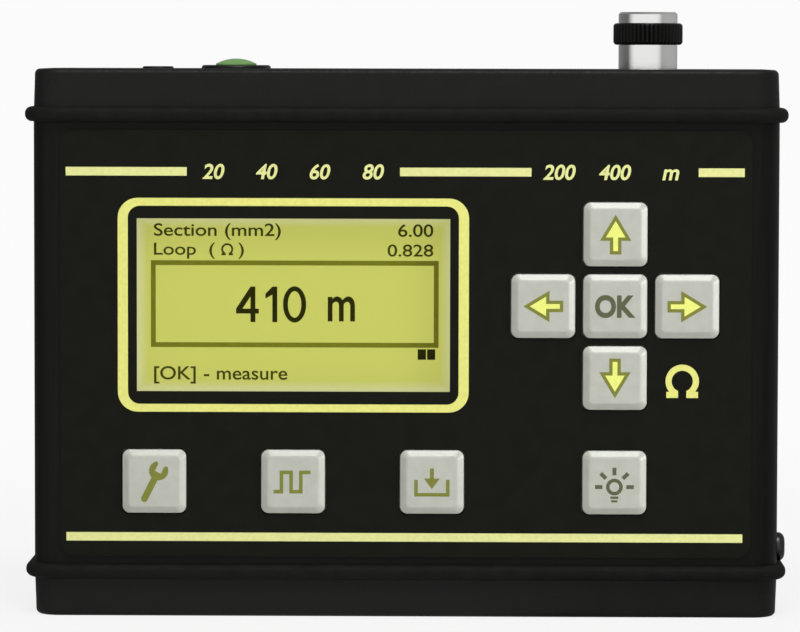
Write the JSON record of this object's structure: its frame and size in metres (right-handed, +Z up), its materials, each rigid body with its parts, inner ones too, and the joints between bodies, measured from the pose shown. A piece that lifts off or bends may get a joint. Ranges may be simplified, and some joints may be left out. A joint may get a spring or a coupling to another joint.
{
  "type": "cable reflectometer",
  "caption": "Hand-held cable reflectometer: flat black extruded case with rubber bead seals, graphic display, arrow pad, lower key row, and measuring socket and power button on top.",
  "frame": {"origin": "middle of the bottom end face, on which the instrument stands", "axes": "+Z up towards the sockets, front with the display towards -Y, +X to the right seen from the front"},
  "size_m": [0.1738, 0.052, 0.1378],
  "materials": {
    "case_black": "black anodised, fine matt",
    "cap_black": "black powder coat",
    "seal_rubber": "matt black rubber",
    "screw_steel": "zinc plated",
    "black_steel": "blackened steel",
    "overlay_film": "printed matt film",
    "clear_window": "clear acrylic",
    "gasket_foam": "closed-cell foam",
    "frame_steel": "black painted sheet",
    "display_glass": "yellow-green display",
    "backlight_white": "diffuser",
    "board_green": "solder mask",
    "spacer_nylon": "nylon",
    "switch_black": "moulded",
    "relay_white": "moulded",
    "cell_jacket": "cell sleeve",
    "contact_nickel": "nickel plated",
    "contact_gold": "gold flashed",
    "socket_chrome": "bright chrome plate",
    "ring_black": "knurled",
    "bezel_black": "moulded",
    "button_green": "moulded",
    "key_grey": "moulded light grey",
    "plunger_white": "moulded"
  },
  "bodies": {
    "case": {"case_profile": "case_black", "top_cap": "cap_black", "bottom_cap": "cap_black", "top_seal": "seal_rubber", "bottom_seal": "seal_rubber", "top_cap_screws": "screw_steel", "bottom_cap_screws": "screw_steel", "side_screw": "black_steel", "front_overlay": "overlay_film", "display_window": "clear_window", "display_gasket": "gasket_foam", "display_frame": "frame_steel", "display_glass": "display_glass", "display_backlight": "backlight_white", "display_board": "board_green", "display_spacers": "spacer_nylon", "display_screws": "screw_steel", "display_nuts": "screw_steel", "front_board": "board_green", "main_board": "board_green", "board_link": "switch_black", "relays": "relay_white", "main_chips": "switch_black", "battery_holder": "switch_black", "battery_cells": "cell_jacket", "battery_contacts": "contact_nickel", "socket_shell": "socket_chrome", "socket_insert": "switch_black", "socket_contacts": "contact_gold", "socket_nut": "contact_nickel", "power_switch": "bezel_black", "power_spring": "screw_steel", "power_nut": "contact_nickel", "charge_socket": "bezel_black", "charge_pin": "contact_nickel", "charge_nut": "contact_nickel", "key_switches": "switch_black"},
    "key_up": {"key_up": "key_grey", "key_up_plunger": "plunger_white"},
    "key_left": {"key_left": "key_grey", "key_left_plunger": "plunger_white"},
    "key_ok": {"key_ok": "key_grey", "key_ok_plunger": "plunger_white"},
    "key_right": {"key_right": "key_grey", "key_right_plunger": "plunger_white"},
    "key_down": {"key_down": "key_grey", "key_down_plunger": "plunger_white"},
    "key_trace": {"key_trace": "key_grey", "key_trace_plunger": "plunger_white"},
    "key_mode": {"key_mode": "key_grey", "key_mode_plunger": "plunger_white"},
    "key_memory": {"key_memory": "key_grey", "key_memory_plunger": "plunger_white"},
    "key_light": {"key_light": "key_grey", "key_light_plunger": "plunger_white"},
    "power_button": {"power_button": "button_green"},
    "lock_ring": {"lock_ring": "ring_black"}
  },
  "joints": [
    {"name": "key_up_press", "type": "slide", "parent": "case", "child": "key_up", "axis": [0, 1, 0], "range_m": [0, 0.0008], "stiffness_N_per_m": 1500, "springref_m": -0.0004},
    {"name": "key_left_press", "type": "slide", "parent": "case", "child": "key_left", "axis": [0, 1, 0], "range_m": [0, 0.0008], "stiffness_N_per_m": 1500, "springref_m": -0.0004},
    {"name": "key_ok_press", "type": "slide", "parent": "case", "child": "key_ok", "axis": [0, 1, 0], "range_m": [0, 0.0008], "stiffness_N_per_m": 1500, "springref_m": -0.0004},
    {"name": "key_right_press", "type": "slide", "parent": "case", "child": "key_right", "axis": [0, 1, 0], "range_m": [0, 0.0008], "stiffness_N_per_m": 1500, "springref_m": -0.0004},
    {"name": "key_down_press", "type": "slide", "parent": "case", "child": "key_down", "axis": [0, 1, 0], "range_m": [0, 0.0008], "stiffness_N_per_m": 1500, "springref_m": -0.0004},
    {"name": "key_trace_press", "type": "slide", "parent": "case", "child": "key_trace", "axis": [0, 1, 0], "range_m": [0, 0.0008], "stiffness_N_per_m": 1500, "springref_m": -0.0004},
    {"name": "key_mode_press", "type": "slide", "parent": "case", "child": "key_mode", "axis": [0, 1, 0], "range_m": [0, 0.0008], "stiffness_N_per_m": 1500, "springref_m": -0.0004},
    {"name": "key_memory_press", "type": "slide", "parent": "case", "child": "key_memory", "axis": [0, 1, 0], "range_m": [0, 0.0008], "stiffness_N_per_m": 1500, "springref_m": -0.0004},
    {"name": "key_light_press", "type": "slide", "parent": "case", "child": "key_light", "axis": [0, 1, 0], "range_m": [0, 0.0008], "stiffness_N_per_m": 1500, "springref_m": -0.0004},
    {"name": "power_button_press", "type": "slide", "parent": "case", "child": "power_button", "axis": [0, 0, -1], "range_m": [0, 0.0012], "stiffness_N_per_m": 1200, "springref_m": -0.001, "deforming": ["power_spring"]},
    {"name": "lock_ring_turn", "type": "hinge", "parent": "case", "child": "lock_ring", "pos_m": [0.0556, 0, 0.13275], "axis": [0, 0, 1], "continuous": true}
  ]
}
